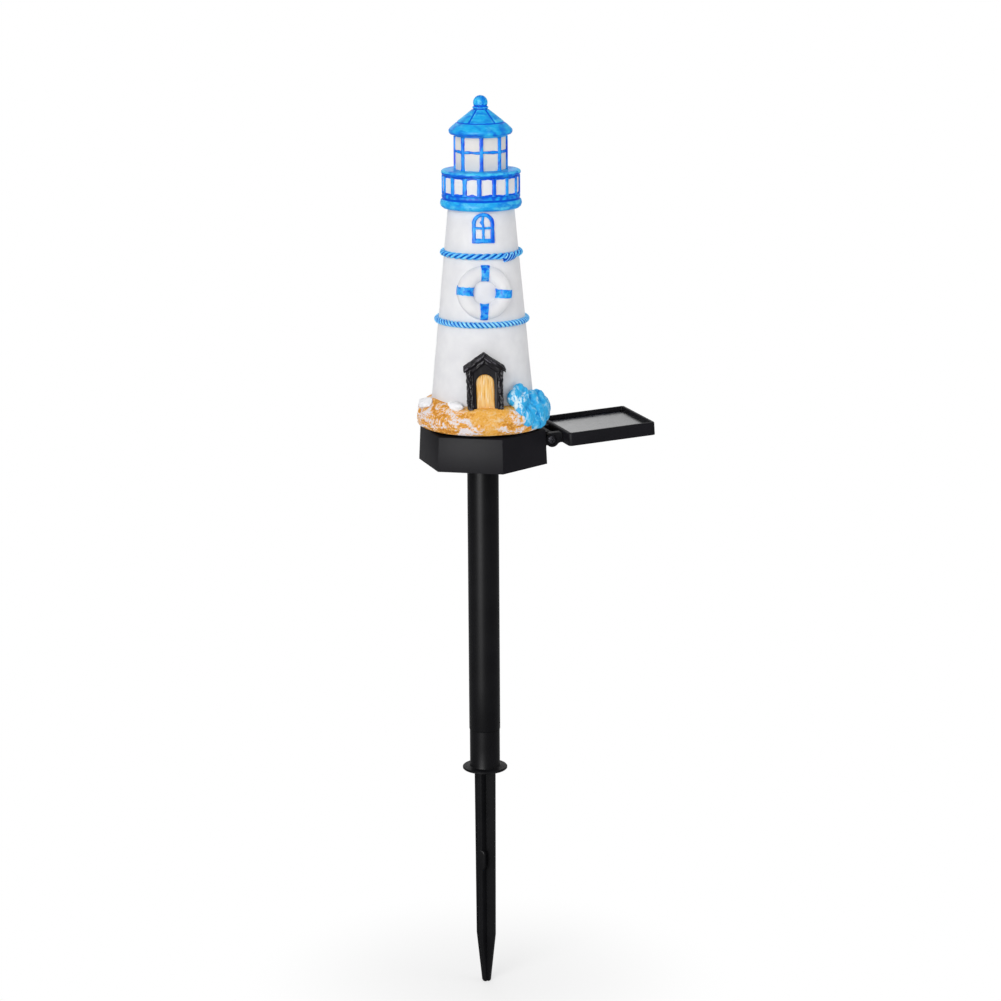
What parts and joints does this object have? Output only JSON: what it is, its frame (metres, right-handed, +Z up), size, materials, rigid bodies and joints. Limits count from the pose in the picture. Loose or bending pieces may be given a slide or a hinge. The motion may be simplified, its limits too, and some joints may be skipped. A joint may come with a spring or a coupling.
{
  "type": "solar lighthouse garden stake light",
  "caption": "Painted lighthouse figure on a six-sided solar light housing with a tilting side panel, on a round pole with a push-in ground stake.",
  "frame": {"origin": "centre of the underside of the ground stake's flange, which is the soil surface in use", "axes": "+Z up along the pole; +X from the pole's axis to the solar panel's hinge; the door faces -Y, turned 12 degrees towards -X"},
  "size_m": [0.1461, 0.0823, 0.5758],
  "materials": {
    "white_resin": "satin painted cast resin",
    "blue_paint": "hand-painted resin, satin",
    "sand_paint": "hand-painted resin",
    "pale_stone": "hand-painted resin",
    "black_paint": "hand-painted resin, semi-gloss",
    "ochre_paint": "hand-painted wood look",
    "black_plastic": "fine texture",
    "pole_plastic": "smooth satin",
    "cell_face": "clear coat over dark cells",
    "steel": "zinc plated",
    "seal_rubber": "matte",
    "board_green": "solder resist",
    "lamp_lens": "clear moulded lens",
    "cell_can": "wrapped metal can",
    "spring_nickel": "nickel plated",
    "switch_rubber": "matte"
  },
  "bodies": {
    "stake": {"ground_stake": "pole_plastic"},
    "pole": {"pole_tube": "pole_plastic"},
    "head": {"base_housing": "black_plastic", "base_cover": "black_plastic", "base_gasket": "seal_rubber", "cover_screws": "steel", "figure_screws": "steel", "circuit_board": "board_green", "board_screws": "steel", "lamp_led": "lamp_lens", "battery_holder": "black_plastic", "battery_cell": "cell_can", "negative_contact": "spring_nickel", "positive_contact": "spring_nickel", "switch_body": "black_plastic", "white_stones": "pale_stone", "tower": "white_resin", "upper_rope": "blue_paint", "lower_rope": "blue_paint", "life_ring": "white_resin", "life_ring_bands": "blue_paint", "window_frame": "blue_paint", "porch": "black_paint", "door_leaf": "ochre_paint", "rock_base": "sand_paint", "blue_rocks": "blue_paint", "gallery_ring": "blue_paint", "gallery_parapet": "white_resin", "gallery_posts": "blue_paint", "gallery_deck": "blue_paint", "lantern_room": "white_resin", "lantern_bars": "blue_paint", "roof": "blue_paint", "finial": "blue_paint"},
    "panel": {"panel_tray": "black_plastic", "solar_cell": "cell_face", "hinge_bolt": "steel", "hinge_nut": "steel"},
    "button": {"switch_button": "switch_rubber"}
  },
  "joints": [
    {"name": "pole_lift", "type": "slide", "parent": "stake", "child": "pole", "axis": [0, 0, 1], "range_m": [0, 0.025]},
    {"name": "head_turn", "type": "hinge", "parent": "pole", "child": "head", "pos_m": [0, 0, 0.2016], "axis": [0, 0, 1], "continuous": true},
    {"name": "panel_tilt", "type": "hinge", "parent": "head", "child": "panel", "pos_m": [0.04125, 0, 0.215], "axis": [0, -1, 0], "range_deg": [-93.5, 51.5]},
    {"name": "switch_press", "type": "slide", "parent": "head", "child": "button", "axis": [0, 0, 1], "range_m": [0, 0.001], "stiffness_N_per_m": 200}
  ]
}
